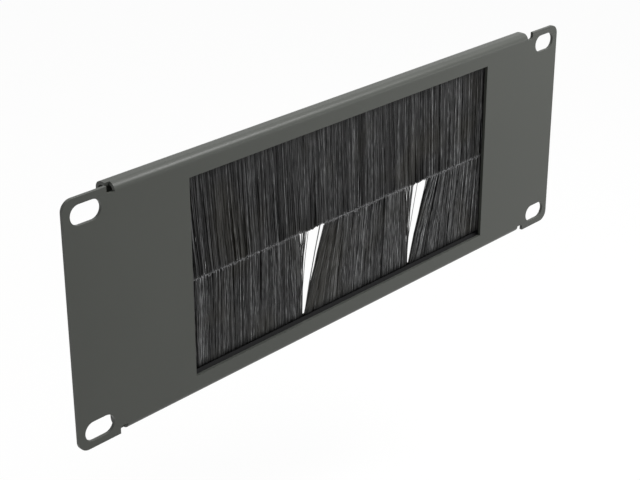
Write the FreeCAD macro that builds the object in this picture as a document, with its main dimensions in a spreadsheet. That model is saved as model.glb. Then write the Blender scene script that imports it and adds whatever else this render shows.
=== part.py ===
import FreeCAD, Part
import math
import os
import random
import Sketcher
from FreeCAD import Placement, Rotation, Vector

# A 10-inch, two-unit rack panel with a brush window.
# X runs to the right as seen from the front, Y goes back through the panel, Z is up.
# The origin is the centre of the four rack slots, on the panel's front face.

doc = FreeCAD.newDocument("RackBrushPanel")
sheet = doc.addObject("Spreadsheet::Sheet", "Sizes")

SIZES = {
    # Folded front panel
    "panel_width": 254.0,
    "panel_height": 88.1,
    "sheet_thickness": 1.2,
    "ear_radius": 4.0,
    "slot_spacing_across": 236.525,
    "slot_spacing_up": 76.2,
    "slot_length": 12.0,
    "slot_width": 7.0,
    "window_width": 157.0,
    "window_height": 73.5,
    "window_offset": 2.0,
    # Lips folded back and in again along the top and bottom, and the notches at their ends
    "lip_depth": 7.1,
    "lip_return": 5.8,
    "lip_reach": 106.8,
    "lip_left_reach": 108.6,
    "bend_radius": 2.6,
    "ear_overlap": 8.0,
    "notch_reach": 110.0,
    "notch_depth": 2.7,
    "notch_radius": 1.0,
    # Crimped channels of the two brush strips
    "strip_length": 168.0,
    "strip_clearance": 0.35,
    "channel_width": 4.5,
    "channel_height": 6.6,
    "channel_wall": 0.4,
    "channel_corner": 2.0,
    "channel_taper": 1.5,
    "mouth_width": 1.8,
    "wire_diameter": 1.4,
    "wire_clearance": 0.02,
    # Bristles: their fold round the wire, and the curtain that leaves the mouth
    "fold_radius": 1.6,
    "pack_thickness": 1.0,
    "pack_overrun": 0.5,
    "curtain_thickness": 2.5,
    "groove_depth": 0.25,
    "curtain_start": 0.1,
    "tuft_pitch": 1.5,
    "meeting_height": -1.9,
    "meeting_gap": 0.8,
    "tip_unevenness": 0.3,
    "fan_lean": 3.5,
    "fan_reach": 45.0,
    # Partings in the lower bristles, measured along X
    "left_parting": -20.9,
    "right_parting": 38.3,
    "parting_root_gap": 1.4,
    "parting_left_lean": 1.4,
    "parting_right_lean": 11.8,
    "parting_spread": 14.0,
    # End brackets that clamp both strips to the panel's back
    "bracket_thickness": 1.0,
    "bracket_height": 76.0,
    "bracket_overlap": 3.8,
    "bracket_clearance": 1.0,
    "bracket_foot_reach": 14.0,
    "bracket_bend": 0.6,
    "bracket_corner": 2.0,
    "bracket_hole": 4.8,
    # Weld studs, washers and nuts
    "stud_inset": 8.0,
    "stud_height": 26.0,
    "stud_flange_diameter": 4.2,
    "stud_flange_thickness": 0.7,
    "stud_diameter": 3.0,
    "stud_length": 5.4,
    "stud_chamfer": 0.4,
    "washer_diameter": 7.0,
    "washer_bore": 3.2,
    "washer_thickness": 0.5,
    "nut_across_flats": 5.5,
    "nut_thickness": 2.4,
    "nut_bore": 3.1,
    "nut_chamfer": 0.45,
}

# Two positions closer than this, in mm, are the same place
SAME_PLACE = 1e-4
# A cut that takes away less than this, in cubic mm, has missed its body
LEAST_CUT = 1e-4

for row, (alias, number) in enumerate(SIZES.items(), start=1):
    sheet.set(f"A{row}", alias)
    sheet.set(f"B{row}", str(number))
    sheet.setAlias(f"B{row}", alias)
doc.recompute()


class Length:
    """A size in millimetres together with the spreadsheet formula that gives it."""

    def __init__(self, value, formula):
        self.value = value
        self.formula = formula

    def __add__(self, other):
        return Length(self.value + other.value, f"({self.formula} + {other.formula})")

    def __sub__(self, other):
        return Length(self.value - other.value, f"({self.formula} - {other.formula})")

    def __mul__(self, factor):
        return Length(self.value * factor, f"({self.formula} * {factor})")

    def __truediv__(self, divisor):
        return Length(self.value / divisor, f"({self.formula} / {divisor})")

    def __neg__(self):
        return Length(-self.value, f"(-{self.formula})")


def size(alias):
    return Length(float(sheet.get(alias)), f"Sizes.{alias}")


ZERO = Length(0.0, "0")

# Each finished sub-part, in the order it is built
sub_parts = []


def new_body(label):
    body = doc.addObject("PartDesign::Body", label)
    body.Label = label
    sub_parts.append(body)
    return body


def origin_feature(body, role):
    return next(item for item in body.Origin.OriginFeatures if item.Role == role)


def new_sketch(body, name, role):
    sketch = body.newObject("Sketcher::SketchObject", name)
    sketch.AttachmentSupport = [(origin_feature(body, role), "")]
    sketch.MapMode = "FlatFace"
    return sketch


def pin_point(sketch, geometry, point, across, up):
    """Fix a sketch point at (across, up) from the sketch's origin, bound to the sheet."""
    for kind, length, axis in (("DistanceX", across, -2), ("DistanceY", up, -1)):
        if abs(length.value) < SAME_PLACE:
            sketch.addConstraint(Sketcher.Constraint("PointOnObject", geometry, point, axis))
            continue
        ends = (-1, 1, geometry, point) if length.value > 0 else (geometry, point, -1, 1)
        distance = length if length.value > 0 else -length
        index = sketch.addConstraint(Sketcher.Constraint(kind, *ends, distance.value))
        sketch.setExpression(f"Constraints[{index}]", distance.formula)


def add_polygon(sketch, corners):
    """Draw a closed outline whose corners are pairs of Length."""
    first = sketch.GeometryCount
    count = len(corners)
    for index in range(count):
        start = corners[index]
        end = corners[(index + 1) % count]
        line = Part.LineSegment(Vector(start[0].value, start[1].value), Vector(end[0].value, end[1].value))
        sketch.addGeometry(line)
    for index in range(count):
        following = first + (index + 1) % count
        sketch.addConstraint(Sketcher.Constraint("Coincident", first + index, 2, following, 1))
    for index, (across, up) in enumerate(corners):
        pin_point(sketch, first + index, 1, across, up)


def add_rectangle(sketch, left, right, bottom, top):
    add_polygon(sketch, [(left, bottom), (right, bottom), (right, top), (left, top)])


def add_circle(sketch, across, up, radius):
    circle = Part.Circle(Vector(across.value, up.value), Vector(0, 0, 1), radius.value)
    geometry = sketch.addGeometry(circle)
    pin_point(sketch, geometry, 3, across, up)
    index = sketch.addConstraint(Sketcher.Constraint("Radius", geometry, radius.value))
    sketch.setExpression(f"Constraints[{index}]", radius.formula)


def add_slot(sketch, across, up, length, width):
    """Draw a slot with full round ends, long in the sketch's first direction."""
    radius = width / 2
    half_run = (length - width) / 2
    ends = []
    for side, start_angle in ((1, -math.pi / 2), (-1, math.pi / 2)):
        centre = across + half_run * side
        circle = Part.Circle(Vector(centre.value, up.value), Vector(0, 0, 1), radius.value)
        arc = Part.ArcOfCircle(circle, start_angle, start_angle + math.pi)
        geometry = sketch.addGeometry(arc)
        pin_point(sketch, geometry, 3, centre, up)
        index = sketch.addConstraint(Sketcher.Constraint("Radius", geometry, radius.value))
        sketch.setExpression(f"Constraints[{index}]", radius.formula)
        ends.append((geometry, centre))
    (right_arc, right_centre), (left_arc, left_centre) = ends
    joins = ((right_arc, left_arc, radius), (left_arc, right_arc, -radius))
    for start_arc, end_arc, rise in joins:
        start_centre = right_centre if start_arc == right_arc else left_centre
        end_centre = left_centre if start_arc == right_arc else right_centre
        start = Vector(start_centre.value, up.value + rise.value)
        end = Vector(end_centre.value, up.value + rise.value)
        line = sketch.addGeometry(Part.LineSegment(start, end))
        sketch.addConstraint(Sketcher.Constraint("Tangent", start_arc, 2, line, 1))
        sketch.addConstraint(Sketcher.Constraint("Tangent", line, 2, end_arc, 1))


def pad(body, sketch, name, length, midplane=False, backwards=False):
    feature = body.newObject("PartDesign::Pad", name)
    feature.Profile = sketch
    feature.setExpression("Length", length.formula)
    feature.Midplane = midplane
    feature.Reversed = backwards
    doc.recompute()
    return feature


def cut_through(body, sketch, name):
    """Cut a sketch through the whole body, both ways, and make sure that it cut something."""
    before = body.Shape.Volume
    feature = body.newObject("PartDesign::Pocket", name)
    feature.Profile = sketch
    feature.Type = "ThroughAll"
    feature.Midplane = True
    doc.recompute()
    if body.Shape.Volume > before - LEAST_CUT:
        raise RuntimeError(f"{name} removed nothing from {body.Label}")
    return feature


def round_edges(body, name, radius, chosen):
    """Fillet those edges of the body that chosen() accepts."""
    base = body.Tip
    edges = [f"Edge{index}" for index, edge in enumerate(base.Shape.Edges, start=1) if chosen(edge)]
    if not edges:
        raise RuntimeError(f"{name} found no edge on {body.Label}")
    feature = body.newObject("PartDesign::Fillet", name)
    feature.Base = (base, edges)
    feature.setExpression("Radius", radius.formula)
    doc.recompute()
    return feature


def runs_along(edge, axis):
    """True for a straight edge that lies along X (0), Y (1) or Z (2)."""
    if len(edge.Vertexes) != 2 or not isinstance(edge.Curve, Part.Line):
        return False
    step = edge.Vertexes[1].Point - edge.Vertexes[0].Point
    return abs(abs(step[axis]) - step.Length) < SAME_PLACE


def passes(edge, **place):
    """True if the edge's middle has the given x, y or z, each a Length."""
    middle = edge.CenterOfMass
    return all(abs(getattr(middle, axis) - length.value) < SAME_PLACE for axis, length in place.items())


# Positions that several sub-parts share
thickness = size("sheet_thickness")
half_height = size("panel_height") / 2
strip_centre = size("window_offset")
half_strip = size("strip_length") / 2
channel_back = half_height - thickness - size("strip_clearance")
channel_mouth = channel_back - size("channel_height")
curtain_middle = thickness + size("channel_width") / 2
wire_height = channel_back - size("channel_wall") - size("fold_radius")


# Front panel: one folded sheet
def build_front_panel():
    body = new_body("front_panel")
    half_width = size("panel_width") / 2
    inner_face = half_height - thickness
    lip = size("lip_depth")
    return_edge = half_height - size("lip_return")
    folded = new_sketch(body, "FoldedSection", "YZ_Plane")
    folded.setExpression("AttachmentOffset.Base.z", (-size("lip_left_reach")).formula)
    add_polygon(folded, [
        (ZERO, -half_height),
        (lip, -half_height),
        (lip, -return_edge),
        (lip - thickness, -return_edge),
        (lip - thickness, -inner_face),
        (thickness, -inner_face),
        (thickness, inner_face),
        (lip - thickness, inner_face),
        (lip - thickness, return_edge),
        (lip, return_edge),
        (lip, half_height),
        (ZERO, half_height),
    ])
    pad(body, folded, "FoldedSheet", size("lip_left_reach") + size("lip_reach"))

    def is_outer_bend(edge):
        at_front = passes(edge, y=ZERO)
        at_back = passes(edge, y=lip)
        at_lip = passes(edge, z=half_height) or passes(edge, z=-half_height)
        return runs_along(edge, 0) and at_lip and (at_front or at_back)

    def is_inner_bend(edge):
        at_front = passes(edge, y=thickness)
        at_back = passes(edge, y=lip - thickness)
        at_lip = passes(edge, z=inner_face) or passes(edge, z=-inner_face)
        return runs_along(edge, 0) and at_lip and (at_front or at_back)

    round_edges(body, "OuterBends", size("bend_radius"), is_outer_bend)
    round_edges(body, "InnerBends", size("bend_radius") - thickness, is_inner_bend)

    # At the left the front bend stops short of the rest of the lip
    relief = new_sketch(body, "BendRelief", "XY_Plane")
    add_rectangle(relief, -size("lip_left_reach"), -size("lip_reach"), ZERO, size("bend_radius"))
    cut_through(body, relief, "BendReliefCut")

    ears = new_sketch(body, "EarOutlines", "XZ_Plane")
    notch_floor = half_height - size("notch_depth")
    for side in (1, -1):
        root = (size("lip_reach") - size("ear_overlap")) * side
        notch = size("notch_reach") * side
        outside = half_width * side
        add_polygon(ears, [
            (root, -notch_floor),
            (notch, -notch_floor),
            (notch, -half_height),
            (outside, -half_height),
            (outside, half_height),
            (notch, half_height),
            (notch, notch_floor),
            (root, notch_floor),
        ])
    pad(body, ears, "Ears", thickness, backwards=True)

    def is_ear_corner(edge):
        at_side = abs(abs(edge.CenterOfMass.x) - half_width.value) < SAME_PLACE
        return runs_along(edge, 1) and at_side

    def is_notch_corner(edge):
        middle = edge.CenterOfMass
        at_notch = abs(abs(middle.x) - size("notch_reach").value) < SAME_PLACE
        at_floor = abs(abs(middle.z) - notch_floor.value) < SAME_PLACE
        return runs_along(edge, 1) and at_notch and at_floor

    round_edges(body, "EarCorners", size("ear_radius"), is_ear_corner)
    round_edges(body, "NotchCorners", size("notch_radius"), is_notch_corner)

    window = new_sketch(body, "WindowOutline", "XZ_Plane")
    half_window = size("window_width") / 2
    window_top = size("window_height") / 2
    add_rectangle(window, strip_centre - half_window, strip_centre + half_window, -window_top, window_top)
    cut_through(body, window, "BrushWindow")

    slots = new_sketch(body, "SlotOutlines", "XZ_Plane")
    for side in (1, -1):
        for level in (1, -1):
            across = size("slot_spacing_across") / 2 * side
            up = size("slot_spacing_up") / 2 * level
            add_slot(slots, across, up, size("slot_length"), size("slot_width"))
    cut_through(body, slots, "RackSlots")


# Brush strip channels: each a crimped U that closes towards its mouth
def build_channel(label, side):
    body = new_body(label)
    front = thickness
    back = thickness + size("channel_width")
    wall = size("channel_wall")
    closed_end = channel_back * side
    taper_start = (channel_mouth + size("channel_taper")) * side
    mouth = channel_mouth * side
    inside_end = (channel_back - wall) * side
    half_mouth = size("mouth_width") / 2
    half_pack = size("pack_thickness") / 2
    section = new_sketch(body, "CrimpedSection", "YZ_Plane")
    add_polygon(section, [
        (curtain_middle - half_mouth, mouth),
        (front, taper_start),
        (front, closed_end),
        (back, closed_end),
        (back, taper_start),
        (curtain_middle + half_mouth, mouth),
        (curtain_middle + half_pack, mouth),
        (back - wall, taper_start),
        (back - wall, inside_end),
        (front + wall, inside_end),
        (front + wall, taper_start),
        (curtain_middle - half_pack, mouth),
    ])
    pad(body, section, "Channel", size("strip_length"), midplane=True)

    def is_outer_corner(edge):
        return runs_along(edge, 0) and passes(edge, z=closed_end)

    def is_inner_corner(edge):
        return runs_along(edge, 0) and passes(edge, z=inside_end)

    round_edges(body, "OuterCorners", size("channel_corner"), is_outer_corner)
    round_edges(body, "InnerCorners", size("channel_corner") - wall, is_inner_corner)
    body.setExpression("Placement.Base.x", strip_centre.formula)


# Core wires: each holds the fold of one row of filaments in its channel
def build_core_wire(label, side):
    body = new_body(label)
    section = new_sketch(body, "WireSection", "YZ_Plane")
    add_circle(section, curtain_middle, wire_height * side, size("wire_diameter") / 2)
    pad(body, section, "Wire", size("strip_length"), midplane=True)
    body.setExpression("Placement.Base.x", strip_centre.formula)


# Bristles: ridges of tufts with uneven tips, folded over the wire at the root
def upper_lean(root):
    """How far right a tuft's tip stands of its root: the upper row fans out from the left."""
    left_end = strip_centre.value - half_strip.value
    return size("fan_lean").value * math.exp(-(root - left_end) / size("fan_reach").value)


def lower_lean(root):
    """Tufts right of a parting lean away to the right, and those left of it lean in a little."""
    lean = 0.0
    spread = size("parting_spread").value
    for parting in ("left_parting", "right_parting"):
        distance = root - size(parting).value
        if distance > 0:
            lean += size("parting_right_lean").value * math.exp(-distance / spread)
        else:
            lean += size("parting_left_lean").value * math.exp(distance / spread)
    return lean


def tuft_columns(start, end, side, lean, chance):
    """Front and back corner points of each groove and crest, from start to end along X."""
    half_pack = size("pack_thickness").value / 2
    half = size("curtain_thickness").value / 2
    groove = size("groove_depth").value
    middle = curtain_middle.value
    root_height = (channel_mouth.value - size("curtain_start").value) * side
    tip_height = size("meeting_height").value + side * size("meeting_gap").value / 2
    columns = []
    # Two steps a tuft: the groove before it and its crest
    steps = 2 * round((end - start) / size("tuft_pitch").value)
    for step in range(steps + 1):
        root = start + (end - start) * step / steps
        tip = root + lean(root)
        reach = half if step % 2 else half - groove
        uneven = side * chance.uniform(0.0, size("tip_unevenness").value)
        columns.append([
            Vector(root, middle - half_pack, root_height),
            Vector(root, middle + half_pack, root_height),
            Vector(tip, middle + reach, tip_height + uneven),
            Vector(tip, middle - reach, tip_height + uneven),
        ])
    return columns


def flat_face(*points):
    return Part.Face(Part.makePolygon([*points, points[0]]))


def lock_solid(columns):
    """Close one lock of tufts: its two sides, roots, tips and ends."""
    faces = [flat_face(*columns[0]), flat_face(*columns[-1])]
    for here, after in zip(columns, columns[1:]):
        front_root, back_root, back_tip, front_tip = here
        next_front_root, next_back_root, next_back_tip, next_front_tip = after
        faces.append(flat_face(front_root, next_front_root, next_back_root, back_root))
        faces.append(flat_face(front_root, front_tip, next_front_root))
        faces.append(flat_face(front_tip, next_front_tip, next_front_root))
        faces.append(flat_face(back_root, next_back_root, back_tip))
        faces.append(flat_face(back_tip, next_back_root, next_back_tip))
        faces.append(flat_face(front_tip, back_tip, next_front_tip))
        faces.append(flat_face(back_tip, next_back_tip, next_front_tip))
    solid = Part.makeSolid(Part.makeShell(faces))
    if solid.Volume < 0:
        solid.reverse()
    return solid


def fold_solid(side, start, end):
    """The filaments' fold round the wire, and the pack that leaves through the mouth."""
    length = end - start
    middle = curtain_middle.value
    height = wire_height.value * side
    along = Vector(1, 0, 0)
    fold = Part.makeCylinder(size("fold_radius").value, length, Vector(start, middle, height), along)
    pack = size("pack_thickness").value
    depth = wire_height.value - channel_mouth.value + size("pack_overrun").value
    low = height - depth if side > 0 else height
    slab = Part.makeBox(length, pack, depth, Vector(start, middle - pack / 2, low))
    bore_radius = size("wire_diameter").value / 2 + size("wire_clearance").value
    bore = Part.makeCylinder(bore_radius, length, Vector(start, middle, height), along)
    return fold.fuse(slab).cut(bore)


def build_bristles(label, side, lean, partings, seed):
    chance = random.Random(seed)
    start = strip_centre.value - half_strip.value
    end = strip_centre.value + half_strip.value
    half_gap = size("parting_root_gap").value / 2
    cuts = [size(parting).value for parting in partings]
    lock_starts = [start] + [cut + half_gap for cut in cuts]
    lock_ends = [cut - half_gap for cut in cuts] + [end]
    shape = fold_solid(side, start, end)
    for lock_start, lock_end in zip(lock_starts, lock_ends):
        shape = shape.fuse(lock_solid(tuft_columns(lock_start, lock_end, side, lean, chance)))
    bristles = doc.addObject("Part::Feature", label)
    bristles.Label = label
    bristles.Shape = shape.Solids[0]
    bristles.Placement = Placement()
    sub_parts.append(bristles)


# End brackets: Z-shaped strips that reach over both channels' ends
def build_bracket(label, side):
    body = new_body(label)
    metal = size("bracket_thickness")
    base = thickness
    cover = thickness + size("channel_width")
    cover_edge = half_strip - size("bracket_overlap")
    riser = half_strip + size("bracket_clearance")
    foot_edge = half_strip + size("bracket_foot_reach")
    section = new_sketch(body, "BentSection", "XY_Plane")
    add_polygon(section, [
        (cover_edge * side, cover),
        (riser * side, cover),
        (riser * side, base),
        (foot_edge * side, base),
        (foot_edge * side, base + metal),
        ((riser + metal) * side, base + metal),
        ((riser + metal) * side, cover + metal),
        (cover_edge * side, cover + metal),
    ])
    pad(body, section, "BentStrip", size("bracket_height"), midplane=True)

    def is_inside_bend(edge):
        over_cover = passes(edge, x=riser * side, y=cover)
        over_foot = passes(edge, x=(riser + metal) * side, y=base + metal)
        return runs_along(edge, 2) and (over_cover or over_foot)

    def is_outside_bend(edge):
        over_cover = passes(edge, x=(riser + metal) * side, y=cover + metal)
        over_foot = passes(edge, x=riser * side, y=base)
        return runs_along(edge, 2) and (over_cover or over_foot)

    def is_free_corner(edge):
        return runs_along(edge, 1) and passes(edge, x=foot_edge * side)

    round_edges(body, "InsideBends", size("bracket_bend"), is_inside_bend)
    round_edges(body, "OutsideBends", size("bracket_bend") + metal, is_outside_bend)
    round_edges(body, "FootCorners", size("bracket_corner"), is_free_corner)

    holes = new_sketch(body, "StudHoles", "XZ_Plane")
    for level in (1, -1):
        across = (half_strip + size("stud_inset")) * side
        add_circle(holes, across, size("stud_height") * level, size("bracket_hole") / 2)
    cut_through(body, holes, "StudHoleCuts")
    body.setExpression("Placement.Base.x", strip_centre.formula)


# Fasteners: turned pieces are drawn along Z, then laid along Y at their stud's place
def stand_at(body, side, level, depth):
    body.Placement = Placement(Vector(0, 0, 0), Rotation(Vector(1, 0, 0), -90))
    across = strip_centre + (half_strip + size("stud_inset")) * side
    body.setExpression("Placement.Base.x", across.formula)
    body.setExpression("Placement.Base.y", depth.formula)
    body.setExpression("Placement.Base.z", (size("stud_height") * level).formula)


def revolve(body, sketch, name):
    feature = body.newObject("PartDesign::Revolution", name)
    feature.Profile = sketch
    feature.ReferenceAxis = (sketch, ["V_Axis"])
    feature.Angle = 360
    doc.recompute()
    return feature


def build_weld_stud(label, side, level):
    body = new_body(label)
    flange_radius = size("stud_flange_diameter") / 2
    flange_top = size("stud_flange_thickness")
    radius = size("stud_diameter") / 2
    chamfer = size("stud_chamfer")
    end = size("stud_length")
    profile = new_sketch(body, "StudProfile", "XZ_Plane")
    add_polygon(profile, [
        (ZERO, ZERO),
        (flange_radius, ZERO),
        (flange_radius, flange_top),
        (radius, flange_top),
        (radius, end - chamfer),
        (radius - chamfer, end),
        (ZERO, end),
    ])
    revolve(body, profile, "Stud")
    stand_at(body, side, level, thickness)


def build_washer(label, side, level):
    body = new_body(label)
    profile = new_sketch(body, "WasherProfile", "XZ_Plane")
    bore = size("washer_bore") / 2
    rim = size("washer_diameter") / 2
    add_rectangle(profile, bore, rim, ZERO, size("washer_thickness"))
    revolve(body, profile, "Ring")
    stand_at(body, side, level, thickness + size("bracket_thickness"))


def build_nut(label, side, level):
    body = new_body(label)
    half_flats = size("nut_across_flats") / 2
    corner_radius = half_flats * (2 / math.sqrt(3))
    half_side = corner_radius / 2
    hexagon = new_sketch(body, "Hexagon", "XY_Plane")
    add_polygon(hexagon, [
        (corner_radius, ZERO),
        (half_side, half_flats),
        (-half_side, half_flats),
        (-corner_radius, ZERO),
        (-half_side, -half_flats),
        (half_side, -half_flats),
    ])
    pad(body, hexagon, "Blank", size("nut_thickness"))
    bore = new_sketch(body, "BoreOutline", "XY_Plane")
    add_circle(bore, ZERO, ZERO, size("nut_bore") / 2)
    cut_through(body, bore, "Bore")

    chamfer = new_sketch(body, "ChamferProfile", "XZ_Plane")
    top = size("nut_thickness")
    outside = corner_radius + size("nut_chamfer")
    add_polygon(chamfer, [
        (half_flats, top),
        (outside, top - size("nut_chamfer")),
        (outside, top + size("nut_chamfer")),
        (half_flats, top + size("nut_chamfer")),
    ])
    before = body.Shape.Volume
    groove = body.newObject("PartDesign::Groove", "CornerChamfer")
    groove.Profile = chamfer
    groove.ReferenceAxis = (chamfer, ["V_Axis"])
    groove.Angle = 360
    doc.recompute()
    if body.Shape.Volume > before - LEAST_CUT:
        raise RuntimeError("the nut's corners were not chamfered")
    stand_at(body, side, level, thickness + size("bracket_thickness") + size("washer_thickness"))


build_front_panel()
build_channel("upper_channel", 1)
build_channel("lower_channel", -1)
build_core_wire("upper_core_wire", 1)
build_core_wire("lower_core_wire", -1)
build_bristles("upper_bristles", 1, upper_lean, [], seed=11)
build_bristles("lower_bristles", -1, lower_lean, ["left_parting", "right_parting"], seed=23)
build_bracket("left_bracket", -1)
build_bracket("right_bracket", 1)
stud_places = [(side, level) for side in (-1, 1) for level in (1, -1)]
for number, (side, level) in enumerate(stud_places, start=1):
    build_weld_stud(f"weld_stud_{number}", side, level)
    build_washer(f"washer_{number}", side, level)
    build_nut(f"hex_nut_{number}", side, level)
doc.recompute()

for item in doc.Objects:
    if "Invalid" in item.State or "Error" in item.State:
        raise RuntimeError(f"{item.Name} failed: {item.State}")

os.makedirs("parts", exist_ok=True)
for item in sub_parts:
    shape = item.Shape
    if shape.isNull() or not shape.isValid() or len(shape.Solids) != 1:
        raise RuntimeError(f"{item.Label} is not one valid solid")
    print(item.Label, round(shape.Volume, 2), "mm3", len(shape.Faces), "faces")
    shape.exportStep(f"parts/{item.Label}.step")
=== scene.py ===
import math
import random

import bmesh
import bpy
from mathutils import Matrix, Quaternion, Vector


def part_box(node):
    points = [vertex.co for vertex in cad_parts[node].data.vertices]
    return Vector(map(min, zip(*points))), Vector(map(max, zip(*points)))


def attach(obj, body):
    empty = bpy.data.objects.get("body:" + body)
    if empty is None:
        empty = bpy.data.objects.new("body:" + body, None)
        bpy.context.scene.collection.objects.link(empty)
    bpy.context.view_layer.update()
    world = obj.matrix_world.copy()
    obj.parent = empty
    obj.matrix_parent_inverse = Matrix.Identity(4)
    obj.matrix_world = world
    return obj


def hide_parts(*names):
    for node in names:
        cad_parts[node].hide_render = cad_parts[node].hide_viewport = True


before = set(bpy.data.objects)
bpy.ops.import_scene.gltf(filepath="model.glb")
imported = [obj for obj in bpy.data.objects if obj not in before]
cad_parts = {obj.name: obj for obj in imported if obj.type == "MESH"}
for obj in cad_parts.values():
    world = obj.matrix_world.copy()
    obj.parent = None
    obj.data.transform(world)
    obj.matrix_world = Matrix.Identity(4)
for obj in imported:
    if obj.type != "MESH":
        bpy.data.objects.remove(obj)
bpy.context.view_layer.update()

# Front panel
# One sheet of cold rolled steel, punched with the window and the four rack slots, then folded back and in
# again along its top and bottom on a press brake. The notches beside the ears keep the bends from tearing.
# It is powder coated after folding, so the coat runs round every edge. Sizes are in millimetres.
mm = 0.001
close = 0.001
panel_low, panel_high = [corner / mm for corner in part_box("front_panel")]
half_width = panel_high.x
half_height = panel_high.z
lip_depth = panel_high.y
sheet = 1.2
bend_radius = 2.6
bend_start = half_height - bend_radius
lip_reach = 106.8
lip_left_reach = 108.6
lip_return = 5.8
notch_reach = 110.0
notch_round = 1.0
ear_round = 4.0
window_half_width = 157.0 / 2
window_half_height = 73.5 / 2
window_centre = 2.0
slot_across = 236.525 / 2
slot_up = 76.2 / 2
slot_half_length = 12.0 / 2
slot_half_width = 7.0 / 2
coated_edge = 0.3
bend_steps = 10
coat_cloud_width = 38.0
coat_pebble_height = 0.02


def draw_outline(bm, corners):
    """Draw a closed outline in the XZ plane. Each corner is (x, z, radius), rounded where it has a radius."""
    verts = [bm.verts.new((x, 0.0, z)) for x, z, radius in corners]
    bm.faces.new(verts)
    for vert, (x, z, radius) in zip(verts, corners):
        if radius:
            bmesh.ops.bevel(bm, geom=[vert], affect="VERTICES", offset=radius, segments=10, profile=0.5,
                            material=-1, clamp_overlap=False)


def draw_circle(bm, x, z, radius, segments):
    upright = Matrix.Translation((x, 0.0, z)) @ Matrix.Rotation(math.pi / 2, 4, "X")
    bmesh.ops.create_circle(bm, cap_ends=True, segments=segments, radius=radius, matrix=upright)


def fill_sheet(bm):
    """Fill the area between the outlines drawn so far, so that each inner outline is a hole."""
    bmesh.ops.remove_doubles(bm, verts=bm.verts[:], dist=close)
    bmesh.ops.delete(bm, geom=bm.faces[:], context="FACES_ONLY")
    bmesh.ops.triangle_fill(bm, edges=bm.edges[:], use_beauty=True, use_dissolve=False, normal=(0, -1, 0))
    bmesh.ops.dissolve_limit(bm, angle_limit=math.radians(1.0), verts=[], edges=bm.edges[:])


def edges_at(bm, accepts):
    """The edges whose two ends both lie where accepts() says."""
    return [edge for edge in bm.edges if all(accepts(vert.co) for vert in edge.verts)]


def bend(bm, edges, hinge, axis, angle):
    """Carry the sheet on round a bend, and give back the edges where the bend ends."""
    swept = bmesh.ops.spin(bm, geom=edges, cent=hinge, axis=axis, angle=math.radians(angle), steps=bend_steps)
    return [item for item in swept["geom_last"] if isinstance(item, bmesh.types.BMEdge)]


def carry_on(bm, edges, step):
    """Carry the sheet straight on by one step, and give back the edges where it ends."""
    grown = bmesh.ops.extrude_edge_only(bm, edges=edges)["geom"]
    far = {item for item in grown if isinstance(item, bmesh.types.BMVert)}
    bmesh.ops.translate(bm, vec=step, verts=list(far))
    return [item for item in grown if isinstance(item, bmesh.types.BMEdge) and far.issuperset(item.verts)]


def thicken(bm, thickness):
    """Give a sheet its thickness on the side that its faces point away from, as a closed shell."""
    bmesh.ops.remove_doubles(bm, verts=bm.verts[:], dist=close)
    bmesh.ops.solidify(bm, geom=bm.faces[:], thickness=thickness)
    bmesh.ops.recalc_face_normals(bm, faces=bm.faces[:])


def make_piece(bm, name, material, edge_round=0.0, smooth_angle=35.0):
    """Turn a mesh drawn in millimetres into an object in metres, with its sharp edges rounded a little."""
    bmesh.ops.scale(bm, vec=(mm, mm, mm), verts=bm.verts[:])
    mesh = bpy.data.meshes.new(name)
    bm.to_mesh(mesh)
    bm.free()
    mesh.shade_smooth()
    mesh.set_sharp_from_angle(angle=math.radians(smooth_angle))
    mesh.materials.append(material)
    piece = bpy.data.objects.new(name, mesh)
    bpy.context.scene.collection.objects.link(piece)
    if edge_round:
        rounding = piece.modifiers.new("Rounded edges", "BEVEL")
        rounding.width = edge_round * mm
        rounding.segments = 3
        rounding.limit_method = "ANGLE"
        rounding.angle_limit = math.radians(smooth_angle)
        rounding.vmesh_method = "CUTOFF"
        flatness = piece.modifiers.new("Flat faces shaded flat", "WEIGHTED_NORMAL")
        flatness.keep_sharp = True
    return piece


def linear(hex_colour):
    """An sRGB colour such as #3a3b39 as the linear values that Blender mixes."""
    shares = [int(hex_colour[start:start + 2], 16) / 255 for start in (1, 3, 5)]
    return [s / 12.92 if s <= 0.04045 else ((s + 0.055) / 1.055) ** 2.4 for s in shares] + [1.0]


def add_node(tree, kind, inputs=None, **settings):
    """Add a node with its settings. Each input is a value, or another node's output to link from."""
    node = tree.nodes.new(kind)
    for name, value in settings.items():
        setattr(node, name, value)
    for socket, value in (inputs or {}).items():
        if isinstance(value, bpy.types.NodeSocket):
            tree.links.new(value, node.inputs[socket])
        else:
            node.inputs[socket].default_value = value
    return node


def new_material(name):
    """An empty node material: its tree and the output that its shader goes to."""
    material = bpy.data.materials.new(name)
    material.use_nodes = True
    material.node_tree.nodes.clear()
    output = material.node_tree.nodes.new("ShaderNodeOutputMaterial")
    return material, material.node_tree, output


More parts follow.
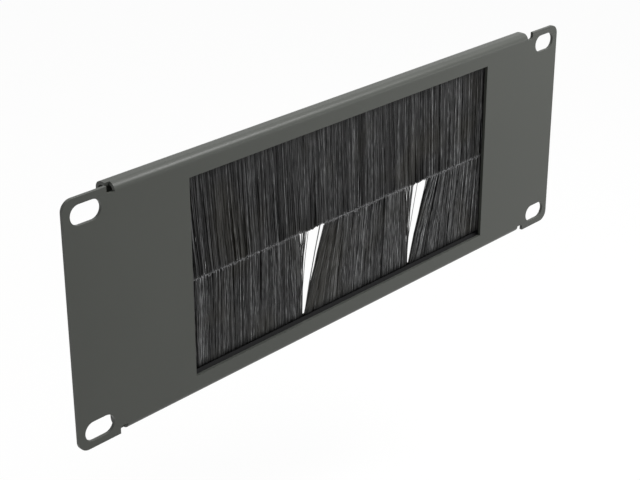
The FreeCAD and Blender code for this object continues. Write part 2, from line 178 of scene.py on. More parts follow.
def powder_coat(name, dark, pale, grain):
    """Polyester powder melted onto steel: an even, half matt skin with a fine pebbled grain, no brush marks,
    and a very slight cloudiness where the powder lay thicker. Grain is the pebbles' width in millimetres."""
    material, tree, output = new_material(name)
    place = add_node(tree, "ShaderNodeTexCoord").outputs["Object"]
    clouds = add_node(tree, "ShaderNodeTexNoise", {
        "Vector": place, "Scale": 1 / (coat_cloud_width * mm), "Detail": 3.0, "Roughness": 0.55})
    pebbles = add_node(tree, "ShaderNodeTexNoise", {
        "Vector": place, "Scale": 1 / (grain * mm), "Detail": 2.0, "Roughness": 0.5})
    colour = add_node(tree, "ShaderNodeMix", {
        "Factor": clouds.outputs["Fac"], "A": linear(dark), "B": linear(pale)}, data_type="RGBA")
    gloss = add_node(tree, "ShaderNodeMapRange", {
        "Value": clouds.outputs["Fac"], "From Min": 0.3, "From Max": 0.7, "To Min": 0.38, "To Max": 0.46})
    bump = add_node(tree, "ShaderNodeBump", {
        "Height": pebbles.outputs["Fac"], "Strength": 0.25, "Distance": coat_pebble_height * mm})
    shader = add_node(tree, "ShaderNodeBsdfPrincipled", {
        "Base Color": colour.outputs["Result"], "Roughness": gloss.outputs["Result"],
        "Normal": bump.outputs["Normal"], "Specular IOR Level": 0.25})
    tree.links.new(shader.outputs["BSDF"], output.inputs["Surface"])
    return material


panel_mesh = bmesh.new()
ear_side = []
for across, up in ((1, 1), (1, -1), (-1, -1), (-1, 1)):
    ear_corner = [
        (lip_reach * across, bend_start * up, 0.0),
        (notch_reach * across, bend_start * up, notch_round),
        (notch_reach * across, half_height * up, 0.0),
        (half_width * across, half_height * up, ear_round),
    ]
    ear_side += ear_corner if across == up else ear_corner[::-1]
draw_outline(panel_mesh, ear_side)
window_left = window_centre - window_half_width
window_right = window_centre + window_half_width
draw_outline(panel_mesh, [
    (window_left, -window_half_height, 0.0),
    (window_right, -window_half_height, 0.0),
    (window_right, window_half_height, 0.0),
    (window_left, window_half_height, 0.0),
])
for across in (1, -1):
    for up in (1, -1):
        slot_x = slot_across * across
        slot_z = slot_up * up
        draw_outline(panel_mesh, [
            (slot_x + slot_half_length * side, slot_z + slot_half_width * level, slot_half_width)
            for side, level in ((-1, -1), (1, -1), (1, 1), (-1, 1))
        ])
fill_sheet(panel_mesh)
for up in (1, -1):
    edge = edges_at(panel_mesh, lambda p: abs(p.z - bend_start * up) < close and abs(p.x) < lip_reach + close)
    edge = bend(panel_mesh, edge, (0.0, bend_radius, bend_start * up), (1, 0, 0), -90 * up)
    edge = carry_on(panel_mesh, edge, (0.0, lip_depth - 2 * bend_radius, 0.0))
    edge = bend(panel_mesh, edge, (0.0, lip_depth - bend_radius, bend_start * up), (1, 0, 0), -90 * up)
    carry_on(panel_mesh, edge, (0.0, 0.0, (bend_radius - lip_return) * up))
    lip_end = edges_at(panel_mesh, lambda p: (
        abs(p.x + lip_reach) < close and p.y > bend_radius - close and p.z * up > 0))
    carry_on(panel_mesh, lip_end, (lip_reach - lip_left_reach, 0.0, 0.0))
thicken(panel_mesh, sheet)
panel_coat = powder_coat("powder_coated_steel_panel", "#40423e", "#464844", grain=0.9)
front_panel = make_piece(panel_mesh, "folded_front_panel", panel_coat, edge_round=coated_edge)
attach(front_panel, "root")
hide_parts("front_panel")

# Strip channels
# Each row of bristles sits in a strip of thin steel rolled to a U and crimped shut at its mouth. The steel
# is enamelled black on the coil before it is rolled, so it is smooth, with bare grey only at its sawn ends.
channel_wall = 0.4
channel_round = 2.0
channel_taper = 1.5
channel_mouth_width = 1.8
rolling_line_width = 0.5
rolling_line_height = 0.01


def strip_channel(node, side):
    """The channel of one row: side is 1 for the upper row and -1 for the lower."""
    low, high = [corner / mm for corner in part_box(node)]
    closed_end = high.z if side > 0 else low.z
    mouth = low.z if side > 0 else high.z
    middle = (low.y + high.y) / 2
    bm = bmesh.new()
    corners = [
        (middle - channel_mouth_width / 2, mouth),
        (low.y, mouth + channel_taper * side),
        (low.y, closed_end),
        (high.y, closed_end),
        (high.y, mouth + channel_taper * side),
        (middle + channel_mouth_width / 2, mouth),
    ]
    verts = [bm.verts.new((low.x, y, z)) for y, z in corners]
    section = [bm.edges.new(pair) for pair in zip(verts, verts[1:])]
    carry_on(bm, section, (high.x - low.x, 0.0, 0.0))
    folds = edges_at(bm, lambda p: abs(p.z - closed_end) < close)
    long_folds = [edge for edge in folds if abs(edge.verts[0].co.y - edge.verts[1].co.y) < close]
    bmesh.ops.bevel(bm, geom=long_folds, affect="EDGES", offset=channel_round, segments=8, profile=0.5,
                    material=-1, clamp_overlap=False)
    bmesh.ops.recalc_face_normals(bm, faces=bm.faces[:])
    thicken(bm, channel_wall)
    return bm


def coil_enamel():
    """Black enamel baked on steel strip: deep dull black, smoother than powder, with faint rolling lines."""
    material, tree, output = new_material("black_enamelled_steel_strip")
    place = add_node(tree, "ShaderNodeTexCoord").outputs["Object"]
    rolled = add_node(tree, "ShaderNodeMapping", {"Vector": place, "Scale": (0.02, 1.0, 1.0)})
    lines = add_node(tree, "ShaderNodeTexNoise", {
        "Vector": rolled.outputs["Vector"], "Scale": 1 / (rolling_line_width * mm), "Detail": 2.0})
    colour = add_node(tree, "ShaderNodeMix", {
        "Factor": lines.outputs["Fac"], "A": linear("#0e0e0f"), "B": linear("#141415")}, data_type="RGBA")
    bump = add_node(tree, "ShaderNodeBump", {
        "Height": lines.outputs["Fac"], "Strength": 0.2, "Distance": rolling_line_height * mm})
    shader = add_node(tree, "ShaderNodeBsdfPrincipled", {
        "Base Color": colour.outputs["Result"], "Roughness": 0.7, "Specular IOR Level": 0.1,
        "Normal": bump.outputs["Normal"]})
    tree.links.new(shader.outputs["BSDF"], output.inputs["Surface"])
    return material


channel_enamel = coil_enamel()
for node, side in (("upper_channel", 1), ("lower_channel", -1)):
    channel = make_piece(strip_channel(node, side), f"{node}_crimped", channel_enamel, edge_round=0.1)
    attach(channel, "root")
    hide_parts(node)

# Core wires
# A drawn steel wire lies in each channel, and the filaments are folded over it. The crimped mouth is
# narrower than the fold, so the wire locks the row in place.
wire_segments = 20
scratch_width = 0.15


def drawn_wire():
    """Bright drawn steel: fine scratches run along the wire from the die."""
    material, tree, output = new_material("drawn_steel_wire")
    place = add_node(tree, "ShaderNodeTexCoord").outputs["Object"]
    along = add_node(tree, "ShaderNodeMapping", {"Vector": place, "Scale": (0.02, 1.0, 1.0)})
    scratches = add_node(tree, "ShaderNodeTexNoise", {
        "Vector": along.outputs["Vector"], "Scale": 1 / (scratch_width * mm), "Detail": 3.0})
    gloss = add_node(tree, "ShaderNodeMapRange", {
        "Value": scratches.outputs["Fac"], "To Min": 0.25, "To Max": 0.45})
    shader = add_node(tree, "ShaderNodeBsdfPrincipled", {
        "Base Color": linear("#a9a9a8"), "Metallic": 1.0, "Roughness": gloss.outputs["Result"]})
    tree.links.new(shader.outputs["BSDF"], output.inputs["Surface"])
    return material


wire_steel = drawn_wire()
for node in ("upper_core_wire", "lower_core_wire"):
    low, high = [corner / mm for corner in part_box(node)]
    wire_radius = (high.z - low.z) / 2
    wire_mesh = bmesh.new()
    middle_place = Matrix.Translation((low + high) / 2) @ Matrix.Rotation(math.pi / 2, 4, "Y")
    bmesh.ops.create_cone(wire_mesh, cap_ends=True, segments=wire_segments, radius1=wire_radius,
                          radius2=wire_radius, depth=high.x - low.x, matrix=middle_place)
    wire = make_piece(wire_mesh, f"{node}_drawn", wire_steel, edge_round=0.15)
    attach(wire, "root")
    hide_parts(node)

# Brush rows
# Black nylon filament, folded double over the core wire like hairpins and trimmed to length. The filaments
# gather in small locks, the upper row fans out from its left end, and the lower row is parted in two places.
# Each is drawn 0.28 mm thick, which is likely thicker than the real ones, and there are fewer of them.
filament_radius = 0.14
hairpins = 2600
strip_low, strip_high = [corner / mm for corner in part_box("upper_bristles")]
strip_left = strip_low.x
strip_right = strip_high.x
channel_low, channel_high = [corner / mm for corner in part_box("upper_channel")]
row_middle = (channel_low.y + channel_high.y) / 2
mouth_height = channel_low.z
wire_low, wire_high = [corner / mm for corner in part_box("upper_core_wire")]
wire_height = (wire_low.z + wire_high.z) / 2
fold_inner = (wire_high.z - wire_low.z) / 2 + filament_radius
fold_radius = 1.6
root_thickness = 1.0
curtain_thickness = 2.5
fold_outer = fold_radius - filament_radius
root_half_depth = root_thickness / 2 - filament_radius
tip_half_depth = curtain_thickness / 2 - filament_radius
root_clearance = 0.1
depth_scatter = 0.12
meeting_height = -1.9
tip_gap = -0.3
tip_unevenness = 0.9
lock_width = 1.8
lock_margin = 0.1
lock_lean = 0.75
lock_pull = 0.5
cut_end = 0.4
stray_share = 0.1
stray_wander = 1.6
plain_wander = 0.4
waviness = 0.2
# A leg is drawn through these shares of its length. Its lean and its fall each grow by a power of the share
leg_shares = (0.0, 0.35, 0.7)
lean_power = 1.2
fall_power = 1.7
# How far from each channel's mouth the painted root shade reaches, in millimetres
root_shade = 2.8
# Length of the painted glints along a filament, in millimetres
painted_glint_length = 4.0
strand_spacing = 90.0
shade_power = 3.0
cast_size = 22.0
# Painted shade on the upper row: darker at its left end, lighter towards the right
upper_painted_shade_left = 0.75
upper_painted_shade_gain = 0.2
fan_lean = 3.5
fan_reach = 45.0
parting_half_gap = 0.7
parting_left_lean = 3.2
parting_left_spread = 5.0
parting_right_lean = 12.8
parting_right_spread = 14.0
# Within this distance left of a parting some filaments hang loose into it. Those right of it do so within
# half that distance, and fall back a third as far
loose_reach = 2.2
loose_share = 0.55
loose_fall = 7.0
partings = (-20.9, 38.3)
# Over each parting no lower filament hides the upper tips: they hang a little lower there, and are painted
# dark as shade
open_tip_drop = 0.3
open_middle = 3.6
open_half_width = 6.2
open_power = 1.5


def upper_lean(root):
    """How far right of its root a filament's tip stands: the upper row fans out from its left end."""
    return fan_lean * math.exp(-(root - strip_left) / fan_reach)


def lower_lean(root):
    """Filaments right of a parting lean away to the right, and those left of it a little to the left."""
    lean = 0.0
    for parting in partings:
        distance = root - parting
        if distance > 0:
            lean += parting_right_lean * math.exp(-distance / parting_right_spread)
        else:
            lean -= parting_left_lean * math.exp(distance / parting_left_spread)
    return lean


def openness(x):
    """How open the row below is at this place along X, from 0 to 1 over the middle of a parting."""
    share = 0.0
    for parting in partings:
        reach = (x - parting - open_middle) / open_half_width
        if abs(reach) < 1:
            share += math.cos(reach * math.pi / 2) ** open_power
    return share


def upper_row_painted_shade(root):
    """Painted shade: the upper row's filaments are painted darker towards its left end."""
    return upper_painted_shade_left + upper_painted_shade_gain * (root - strip_left) / (strip_right - strip_left)


def lower_row_painted_shade(root):
    """The lower row's painted shade: none, it is the same all along."""
    return 1.0


def inside_strip(x):
    """The place along X, held far enough from the strip's two ends for a filament's thickness."""
    return min(max(x, strip_left + filament_radius), strip_right - filament_radius)


def filament_section():
    """The triangle that every filament has as its section."""
    outline = bpy.data.curves.new("filament_outline", "CURVE")
    outline.dimensions = "2D"
    triangle = outline.splines.new("POLY")
    triangle.points.add(2)
    triangle.use_cyclic_u = True
    for number, point in enumerate(triangle.points):
        turn = -number * math.tau / 3
        point.co = (filament_radius * mm * math.cos(turn), filament_radius * mm * math.sin(turn), 0.0, 1.0)
    section = bpy.data.objects.new("filament_outline", outline)
    bpy.context.scene.collection.objects.link(section)
    return section


def hairpin_leg(chance, side, leg, root, lock, lean, gaps):
    """One leg of a hairpin from the channel's mouth to its tip, and how open the place at its tip is, which
    also sets the painted shade on that tip.
    """
    depth = leg * chance.uniform(root_clearance, root_half_depth)
    tip_depth = depth / root_half_depth * tip_half_depth + chance.gauss(0.0, depth_scatter)
    tip_depth = min(max(tip_depth, -tip_half_depth), tip_half_depth)
    centre, leaning = lock
    pull = (centre - root) * chance.uniform(0.0, lock_pull) + leaning * chance.uniform(0.0, 1.0)
    wander = stray_wander if chance.random() < stray_share else plain_wander
    tip_x = inside_strip(root + (lean(root) + pull + chance.gauss(0.0, wander)))
    hang = chance.random()
    loose = chance.random() < loose_share
    fall = 0.0
    for gap in gaps:
        if loose and 0 < gap - root < loose_reach:
            fall = loose_fall * hang
        if loose and 0 < root - gap < loose_reach / 2:
            fall = -loose_fall * hang / 3
    tip = meeting_height + side * (tip_gap / 2 + chance.random() ** 2 * tip_unevenness)
    open_shade = openness(tip_x) if side > 0 else 0.0
    waves = [0.0] + [chance.gauss(0.0, waviness) for number in range(2)]
    tip -= open_shade * open_tip_drop
    mouth = mouth_height * side
    cut = tip + cut_end * side
    path = []
    for share, wave in zip(leg_shares, waves):
        path.append((
            root + (tip_x - root) * share ** lean_power + fall * share ** fall_power + wave,
            row_middle + depth + (tip_depth - depth) * share,
            mouth + (cut - mouth) * share,
        ))
    path.append((tip_x + fall, row_middle + tip_depth, cut))
    path.append((tip_x + fall, row_middle + tip_depth, tip))
    return path, open_shade


def closed_row(name, curve_object, shades, ends, material):
    """Turn a row's curve into one mesh, with its filaments' ends closed and its tones as attributes."""
    depsgraph = bpy.context.evaluated_depsgraph_get()
    mesh = bpy.data.meshes.new_from_object(curve_object.evaluated_get(depsgraph))
    mesh.name = name
    for attribute, values in (("strand", shades), ("cut_end", ends)):
        mesh.attributes.new(attribute, "FLOAT", "POINT").data.foreach_set("value", values)
    bm = bmesh.new()
    bm.from_mesh(mesh)
    bmesh.ops.holes_fill(bm, edges=[edge for edge in bm.edges if edge.is_boundary], sides=3)
    bmesh.ops.recalc_face_normals(bm, faces=bm.faces[:])
    bm.to_mesh(mesh)
    bm.free()
    mesh.shade_smooth()
    mesh.set_sharp_from_angle(angle=math.radians(75.0))
    mesh.materials.clear()
    mesh.materials.append(material)
    return mesh


def brush_row(name, side, lean, painted_shade_at, gaps, seed, material):
    """One row of hairpin filaments: side is 1 for the upper row and -1 for the lower."""
    chance = random.Random(seed)
    section = filament_section()
    curve = bpy.data.curves.new(name, "CURVE")
    curve.dimensions = "3D"
    curve.bevel_mode = "OBJECT"
    curve.bevel_object = section
    length = strip_right - strip_left
    lock_count = round(length / lock_width)
    locks = {}
    for leg in (-1, 1):
        locks[leg] = [(
            strip_left + (number + chance.uniform(lock_margin, 1 - lock_margin)) * length / lock_count,
            chance.gauss(0.0, lock_lean),
        ) for number in range(lock_count)]
    shades = []
    ends = []
    for number in range(hairpins):
        root = inside_strip(strip_left + (number + chance.random()) * length / hairpins)
        legs = []
        for leg in (-1, 1):
            lock = min(locks[leg], key=lambda lock: abs(lock[0] - root))
            legs.append(hairpin_leg(chance, side, leg, root, lock, lean, gaps))
        if any(abs(root - gap) < parting_half_gap for gap in gaps):
            continue
        (front_path, front_open_shade), (back_path, back_open_shade) = legs
        fold = chance.uniform(fold_inner, fold_outer)
        wire_z = wire_height * side
        over_wire = [
            (root, row_middle - fold, wire_z),
            (root, row_middle, wire_z + fold * side),
            (root, row_middle + fold, wire_z),
        ]
        points = front_path[::-1] + over_wire + back_path
        spline = curve.splines.new("POLY")
        spline.points.add(len(points) - 1)
        spline.points.foreach_set("co", [
            value for x, y, z in points for value in (x * mm, y * mm, z * mm, 1.0)])
        spline.points.foreach_set("tilt", [chance.uniform(0.0, math.tau)] * len(points))
        # Each filament's random depth of black, times its row's painted shade
        shade = chance.random() * painted_shade_at(root)
        tone = [shade] * len(points)
        end = [1.0] + [0.0] * (len(points) - 2) + [1.0]
        # Painted shade: over a parting the upper tips and the point before them are darkened, and their pale
        # cut end is taken off
        for open_shade, tip, cut in ((front_open_shade, 0, 1), (back_open_shade, -1, -2)):
            end[tip] -= open_shade
            tone[tip] *= 1 - open_shade
            tone[cut] *= 1 - open_shade
        shades += [value for value in tone for corner in range(3)]
        ends += [value for value in end for corner in range(3)]
    curve_object = bpy.data.objects.new(f"{name}_paths", curve)
    bpy.context.scene.collection.objects.link(curve_object)
    mesh = closed_row(name, curve_object, shades, ends, material)
    for scaffold in (curve_object, section):
        bpy.data.objects.remove(scaffold)
    row = bpy.data.objects.new(name, mesh)
    bpy.context.scene.collection.objects.link(row)
    return row


def black_nylon():
    """Extruded black nylon: each filament has its own depth of black, from charcoal to near black, and a
    painted highlight, glints that come and go along its length. Patches of the row have a brown cast. The
    trimmed ends are paler and dull. Painted shade darkens both rows near their channel's mouth."""
    material, tree, output = new_material("black_nylon_filament")
    strand = add_node(tree, "ShaderNodeAttribute", attribute_name="strand").outputs["Fac"]
    cut = add_node(tree, "ShaderNodeAttribute", attribute_name="cut_end").outputs["Fac"]
    place = add_node(tree, "ShaderNodeTexCoord").outputs["Object"]
    height = add_node(tree, "ShaderNodeSeparateXYZ", {"Vector": place}).outputs["Z"]
    own = add_node(tree, "ShaderNodeMath", {0: strand, 1: strand_spacing}, operation="MULTIPLY")
    along = add_node(tree, "ShaderNodeCombineXYZ", {"Z": height})
    # Painted highlight: glints that rise and fall along each filament's length, times its own depth of black
    painted_glint_noise = add_node(tree, "ShaderNodeTexNoise", {
        "Vector": along.outputs["Vector"], "W": own.outputs["Value"], "Scale": 1 / (painted_glint_length * mm),
        "Detail": 1.0}, noise_dimensions="4D")
    painted_glint = add_node(tree, "ShaderNodeMapRange", {
        "Value": painted_glint_noise.outputs["Fac"], "From Min": 0.4, "From Max": 0.68, "To Min": 0.3, "To Max": 1.7})
    depth = add_node(tree, "ShaderNodeMath", {0: strand, 1: shade_power}, operation="POWER")
    lit = add_node(tree, "ShaderNodeMath", {
        0: depth.outputs["Value"], 1: painted_glint.outputs["Result"]}, operation="MULTIPLY")
    black = add_node(tree, "ShaderNodeMix", {
        "Factor": lit.outputs["Value"], "A": linear("#0e0e0f"), "B": linear("#8a8b8c")}, data_type="RGBA")
    cast = add_node(tree, "ShaderNodeTexNoise", {
        "Vector": place, "Scale": 1 / (cast_size * mm), "Detail": 1.0})
    brown = add_node(tree, "ShaderNodeMapRange", {
        "Value": cast.outputs["Fac"], "From Min": 0.5, "From Max": 0.7, "To Min": 0.0, "To Max": 0.45})
    tinted = add_node(tree, "ShaderNodeMix", {
        "Factor": brown.outputs["Result"], "A": black.outputs["Result"],
        "B": linear("#34322a")}, data_type="RGBA")
    # Painted shade: both rows turn near black towards their channel's mouth, as shade in the recess behind
    # the window's edges
    level = add_node(tree, "ShaderNodeMath", {0: height}, operation="ABSOLUTE")
    painted_root_shade = add_node(tree, "ShaderNodeMapRange", {
        "Value": level.outputs["Value"], "From Min": (mouth_height - root_shade) * mm,
        "From Max": mouth_height * mm})
    shaded = add_node(tree, "ShaderNodeMix", {
        "Factor": painted_root_shade.outputs["Result"], "A": tinted.outputs["Result"],
        "B": linear("#0b0b0b")}, data_type="RGBA")
    trimmed = add_node(tree, "ShaderNodeMix", {
        "Factor": cut, "A": shaded.outputs["Result"], "B": linear("#909092")}, data_type="RGBA")
    gloss = add_node(tree, "ShaderNodeMapRange", {"Value": cut, "To Min": 0.36, "To Max": 0.7})
    shader = add_node(tree, "ShaderNodeBsdfPrincipled", {
        "Base Color": trimmed.outputs["Result"], "Roughness": gloss.outputs["Result"],
        "Specular IOR Level": 0.38})
    tree.links.new(shader.outputs["BSDF"], output.inputs["Surface"])
    return material


nylon = black_nylon()
rows = (
    ("upper_bristles", "upper_filament_row", 1, upper_lean, upper_row_painted_shade, (), 6),
    ("lower_bristles", "lower_filament_row", -1, lower_lean, lower_row_painted_shade, partings, 8),
)
for node, name, side, lean, painted_shade_at, gaps, seed in rows:
    row = brush_row(name, side, lean, painted_shade_at, gaps, seed, nylon)
    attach(row, "root")
    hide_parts(node)

# Weld studs
# Four M3 studs are fired onto the panel's back by capacitor discharge, so nothing shows on its front. They
# are copper flashed steel with a small flange, and a rolled thread.
stud_sides = 24
thread_pitch = 0.5
thread_depth = 0.27
thread_steps = 12
thread_sink = 0.02
thread_runout = 0.2
stud_flange_height = 0.7
stud_radius = 1.5
stud_chamfer = 0.4


def spin_round(bm, profile):
    """Spin a line of (radius, depth) points a full turn round the Y axis."""
    verts = [bm.verts.new((radius, depth, 0.0)) for radius, depth in profile]
    edges = [bm.edges.new(pair) for pair in zip(verts, verts[1:])]
    bmesh.ops.spin(bm, geom=verts + edges, cent=(0, 0, 0), axis=(0, 1, 0), angle=math.tau,
                   steps=stud_sides, use_merge=True)
    bmesh.ops.remove_doubles(bm, verts=bm.verts[:], dist=close)
    bmesh.ops.recalc_face_normals(bm, faces=bm.faces[:])


def add_thread(bm, start, end, crest):
    """Wind a three sided ridge round the Y axis from start to end, sunk a little into the core."""
    root = crest - thread_depth - thread_sink
    corners = [(root, start), (crest, start + thread_pitch / 2), (root, start + thread_pitch)]
    verts = [bm.verts.new((radius, depth, 0.0)) for radius, depth in corners]
    edges = [bm.edges.new((verts[i], verts[(i + 1) % 3])) for i in range(3)]
    turns = (end - start - thread_pitch) / thread_pitch
    steps = round(turns * thread_steps)
    wound = bmesh.ops.spin(bm, geom=verts + edges, cent=(0, 0, 0), axis=(0, 1, 0),
                           dvec=(0, turns * thread_pitch / steps, 0), angle=turns * math.tau, steps=steps)
    last = [item for item in wound["geom_last"] if isinstance(item, bmesh.types.BMVert)]
    bm.faces.new(verts)
    bm.faces.new(last)


def plated_steel(name, pale, dark, patch):
    """Thin bright plating on steel: metallic, with soft cloudy patches of tone and fine scatter in its gloss.
    Patch is the width of the clouds in millimetres."""
    material, tree, output = new_material(name)
    place = add_node(tree, "ShaderNodeTexCoord").outputs["Object"]
    clouds = add_node(tree, "ShaderNodeTexNoise", {
        "Vector": place, "Scale": 1 / (patch * mm), "Detail": 4.0, "Roughness": 0.6})
    colour = add_node(tree, "ShaderNodeMix", {
        "Factor": clouds.outputs["Fac"], "A": linear(dark), "B": linear(pale)}, data_type="RGBA")
    gloss = add_node(tree, "ShaderNodeMapRange", {
        "Value": clouds.outputs["Fac"], "From Min": 0.3, "From Max": 0.7, "To Min": 0.24, "To Max": 0.42})
    shader = add_node(tree, "ShaderNodeBsdfPrincipled", {
        "Base Color": colour.outputs["Result"], "Metallic": 1.0, "Roughness": gloss.outputs["Result"]})
    tree.links.new(shader.outputs["BSDF"], output.inputs["Surface"])
    return material


stud_copper = plated_steel("copper_flashed_steel", "#c98f6b", "#a26b4b", patch=1.5)
fastener_places = {}
for number in (1, 2, 3, 4):
    node = f"weld_stud_{number}"
    low, high = [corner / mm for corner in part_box(node)]
    fastener_places[number] = ((low.x + high.x) / 2, (low.z + high.z) / 2)
    flange_radius = (high.x - low.x) / 2
    core = stud_radius - thread_depth
    stud_length = high.y - low.y
    stud_mesh = bmesh.new()
    spin_round(stud_mesh, [
        (0.0, 0.0),
        (flange_radius, 0.0),
        (flange_radius, stud_flange_height),
        (core, stud_flange_height),
        (core, stud_length - stud_chamfer / 2),
        (core - stud_chamfer / 2, stud_length),
        (0.0, stud_length),
    ])
    add_thread(stud_mesh, stud_flange_height + thread_runout, stud_length - thread_runout, stud_radius)
    bmesh.ops.recalc_face_normals(stud_mesh, faces=stud_mesh.faces[:])
    x, z = fastener_places[number]
    bmesh.ops.translate(stud_mesh, vec=(x, low.y, z), verts=stud_mesh.verts[:])
    stud = make_piece(stud_mesh, f"{node}_threaded", stud_copper)
    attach(stud, "root")
    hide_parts(node)

# End brackets
# A Z-shaped strip of 1 mm steel at each end of the window. Its foot sits on two studs, and its cover presses
# the ends of both channels on the panel's back. Folded and powder coated like the panel.
bracket_sheet = 1.0
bracket_bend = 0.6
bracket_round = 2.0
bracket_hole = 4.8 / 2
bracket_clearance = 1.0
strip_end = (strip_right - strip_left) / 2
riser_inside = strip_end + bracket_clearance
channel_depth_range = (channel_low.y, channel_high.y)


def end_bracket(node, side):
    """One bracket: side is -1 for the left and 1 for the right."""
    low, high = [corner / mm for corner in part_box(node)]
    outer_bend = bracket_bend + bracket_sheet
    base, cover = channel_depth_range
    foot_end = low.x if side < 0 else high.x
    cover_end = high.x if side < 0 else low.x
    riser = window_centre + riser_inside * side
    bm = bmesh.new()
    foot_start = riser + outer_bend * side
    draw_outline(bm, [
        (foot_start, low.z, 0.0),
        (foot_start, high.z, 0.0),
        (foot_end, high.z, bracket_round),
        (foot_end, low.z, bracket_round),
    ])
    for x, z in fastener_places.values():
        if x * side > 0:
            draw_circle(bm, x, z, bracket_hole, 28)
    fill_sheet(bm)
    bmesh.ops.translate(bm, vec=(0.0, base, 0.0), verts=bm.verts[:])
    edge = edges_at(bm, lambda p: abs(p.x - foot_start) < close)
    edge = bend(bm, edge, (foot_start, base + outer_bend, 0.0), (0, 0, 1), -90 * side)
    edge = carry_on(bm, edge, (0.0, cover - bracket_bend - base - outer_bend, 0.0))
    edge = bend(bm, edge, (riser - bracket_bend * side, cover - bracket_bend, 0.0), (0, 0, 1), 90 * side)
    carry_on(bm, edge, (cover_end - riser + bracket_bend * side, 0.0, 0.0))
    thicken(bm, bracket_sheet)
    return bm


bracket_coat = powder_coat("powder_coated_steel_bracket", "#383937", "#3e403c", grain=0.9)
for node, side in (("left_bracket", -1), ("right_bracket", 1)):
    bracket = make_piece(end_bracket(node, side), f"{node}_folded", bracket_coat, edge_round=0.25)
    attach(bracket, "root")
    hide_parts(node)

# Washers and nuts
# Each stud carries a stamped M3 washer and a hexagon nut, both bright zinc plated. The nut's corners are
# turned off at 30 degrees on its outer side.
washer_bore = 3.2 / 2
nut_across_flats = 5.5
nut_bore = 3.1 / 2
nut_chamfer_angle = 30.0
chamfer_cuts = 24


def ring_sheet(outline_corners, outline_radius, bore):
    """A flat ring in the XZ plane with a round or six sided rim."""
    bm = bmesh.new()
    draw_circle(bm, 0.0, 0.0, outline_radius, outline_corners)
    draw_circle(bm, 0.0, 0.0, bore, 28)
    fill_sheet(bm)
    return bm


def chamfer_corners(bm, depth, flats):
    """Turn the corners off at the far side: one slanted cut at a time, each closed with a new face."""
    slope = math.radians(nut_chamfer_angle)
    for number in range(chamfer_cuts):
        turn = number * math.tau / chamfer_cuts
        outward = Vector((
            math.cos(turn) * math.sin(slope), math.cos(slope), math.sin(turn) * math.sin(slope)))
        rim = Vector((math.cos(turn) * flats, depth, math.sin(turn) * flats))
        cut = bmesh.ops.bisect_plane(bm, geom=bm.verts[:] + bm.edges[:] + bm.faces[:], dist=close,
                                     plane_co=rim, plane_no=outward, clear_outer=True)
        new_edges = [item for item in cut["geom_cut"] if isinstance(item, bmesh.types.BMEdge)]
        open_edges = [edge for edge in new_edges if edge.is_boundary]
        if open_edges:
            bmesh.ops.edgeloop_fill(bm, edges=open_edges)


zinc = plated_steel("bright_zinc_plated_steel", "#c3c6c9", "#9da1a4", patch=1.2)
for number, (x, z) in fastener_places.items():
    low, high = [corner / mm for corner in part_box(f"washer_{number}")]
    washer_mesh = ring_sheet(40, (high.x - low.x) / 2, washer_bore)
    thicken(washer_mesh, high.y - low.y)
    bmesh.ops.translate(washer_mesh, vec=(x, low.y, z), verts=washer_mesh.verts[:])
    washer = make_piece(washer_mesh, f"washer_{number}_stamped", zinc, edge_round=0.12)
    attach(washer, "root")
    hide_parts(f"washer_{number}")

    low, high = [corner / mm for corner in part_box(f"hex_nut_{number}")]
    flats = nut_across_flats / 2
    nut_mesh = ring_sheet(6, flats * 2 / math.sqrt(3), nut_bore)
    thicken(nut_mesh, high.y - low.y)
    chamfer_corners(nut_mesh, high.y - low.y, flats)
    bmesh.ops.recalc_face_normals(nut_mesh, faces=nut_mesh.faces[:])
    bmesh.ops.translate(nut_mesh, vec=(x, low.y, z), verts=nut_mesh.verts[:])
    nut = make_piece(nut_mesh, f"hex_nut_{number}_chamfered", zinc, edge_round=0.08)
    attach(nut, "root")
    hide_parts(f"hex_nut_{number}")

# Studio
# A pale floor below the panel, a white surround, and soft lamps: a large one above, a small one high before
# the panel's right end, and a weak low one beside it. The camera stands where the photograph's does.
floor_height = -0.16
floor_size = 6.0
floor_whiteness = 0.94
surround_light = 0.38


def seen_directly(tree):
    """1 where the camera looks straight, through something clear or by a reflection, and 0 for soft light."""
    path = add_node(tree, "ShaderNodeLightPath")
    seen = add_node(tree, "ShaderNodeMath", {
        0: path.outputs["Is Camera Ray"], 1: path.outputs["Is Transmission Ray"]}, operation="MAXIMUM")
    seen = add_node(tree, "ShaderNodeMath", {
        0: seen.outputs["Value"], 1: path.outputs["Is Glossy Ray"]}, operation="MAXIMUM")
    return seen.outputs["Value"]


def pale_surface(name, colour, whiteness):
    """A matt floor that the camera sees as nearly white, and that still takes a faint shadow."""
    material, tree, output = new_material(name)
    share = add_node(tree, "ShaderNodeMath", {0: seen_directly(tree), 1: whiteness}, operation="MULTIPLY")
    matt = add_node(tree, "ShaderNodeBsdfDiffuse", {"Color": linear(colour)})
    white = add_node(tree, "ShaderNodeEmission", {"Color": (1.0, 1.0, 1.0, 1.0), "Strength": 1.0})
    mixed = add_node(tree, "ShaderNodeMixShader", {
        0: share.outputs["Value"], 1: matt.outputs["BSDF"], 2: white.outputs["Emission"]})
    tree.links.new(mixed.outputs["Shader"], output.inputs["Surface"])
    return material


floor_mesh = bmesh.new()
bmesh.ops.create_grid(floor_mesh, x_segments=1, y_segments=1, size=floor_size / 2 / mm,
                      matrix=Matrix.Translation((0, 0, floor_height / mm)))
floor = make_piece(floor_mesh, "pale_floor", pale_surface("matt_white_floor", "#f2f2f0", floor_whiteness))

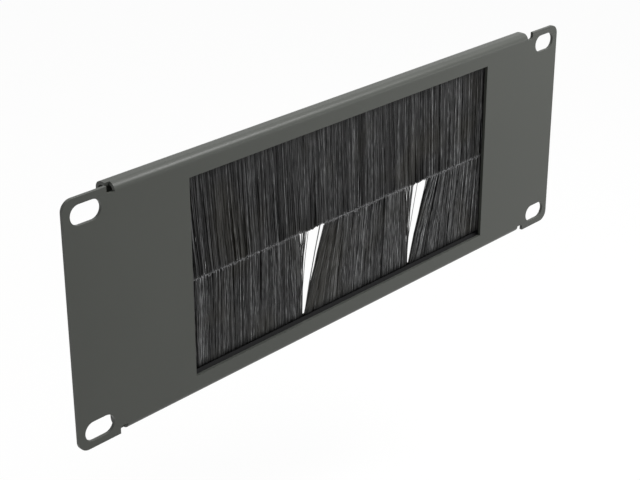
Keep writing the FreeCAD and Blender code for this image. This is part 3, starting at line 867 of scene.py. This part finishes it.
world = bpy.data.worlds.new("studio_surround")
bpy.context.scene.world = world
world.use_nodes = True
world.node_tree.nodes.clear()
surround = world.node_tree
strength = add_node(surround, "ShaderNodeMapRange", {
    "Value": seen_directly(surround), "To Min": surround_light, "To Max": 1.0})
background = add_node(surround, "ShaderNodeBackground", {
    "Color": (1.0, 1.0, 1.0, 1.0), "Strength": strength.outputs["Result"]})
add_node(surround, "ShaderNodeOutputWorld", {"Surface": background.outputs["Background"]})

# Each softbox: its name, place, the point it faces, width, height and power in watts
softboxes = (
    ("softbox_above", (0.1, 0.15, 0.9), (0.0, 0.0, 0.0), 0.9, 0.7, 4.0),
    ("softbox_front", (0.25, -0.24, 0.47), (0.0, 0.0, 0.0), 0.2, 0.2, 3.2),
    ("softbox_right", (0.4, -0.35, 0.03), (0.05, 0.0, 0.0), 0.3, 0.1, 0.3),
)
for name, place, target, width, height, power in softboxes:
    lamp = bpy.data.lights.new(name, "AREA")
    lamp.shape = "RECTANGLE"
    lamp.size = width
    lamp.size_y = height
    lamp.energy = power
    lamp_object = bpy.data.objects.new(name, lamp)
    lamp_object.location = place
    lamp_object.rotation_euler = (Vector(target) - Vector(place)).to_track_quat("-Z", "Y").to_euler()
    bpy.context.scene.collection.objects.link(lamp_object)

# The camera is turned from straight ahead by its azimuth, then tilted down and rolled, all in degrees
camera_place = Vector((-365.1, -333.3, 220.8)) * mm
camera_azimuth = math.radians(47.18)
camera_tilt = math.radians(-22.68)
camera_roll = math.radians(0.29)
camera_data = bpy.data.cameras.new("photo_camera")
camera_data.sensor_width = 36.0
camera_data.lens = 82.92
camera_data.shift_x = -0.03
camera_data.shift_y = -0.1
camera_data.clip_start = 0.01
camera_data.clip_end = 20.0
camera = bpy.data.objects.new("photo_camera", camera_data)
look = Vector((
    math.sin(camera_azimuth) * math.cos(camera_tilt),
    math.cos(camera_azimuth) * math.cos(camera_tilt),
    math.sin(camera_tilt),
))
camera.location = camera_place
camera.rotation_mode = "QUATERNION"
camera.rotation_quaternion = look.to_track_quat("-Z", "Y") @ Quaternion((0.0, 0.0, 1.0), camera_roll)
bpy.context.scene.collection.objects.link(camera)
bpy.context.scene.camera = camera
bpy.context.scene.view_settings.view_transform = "Standard"
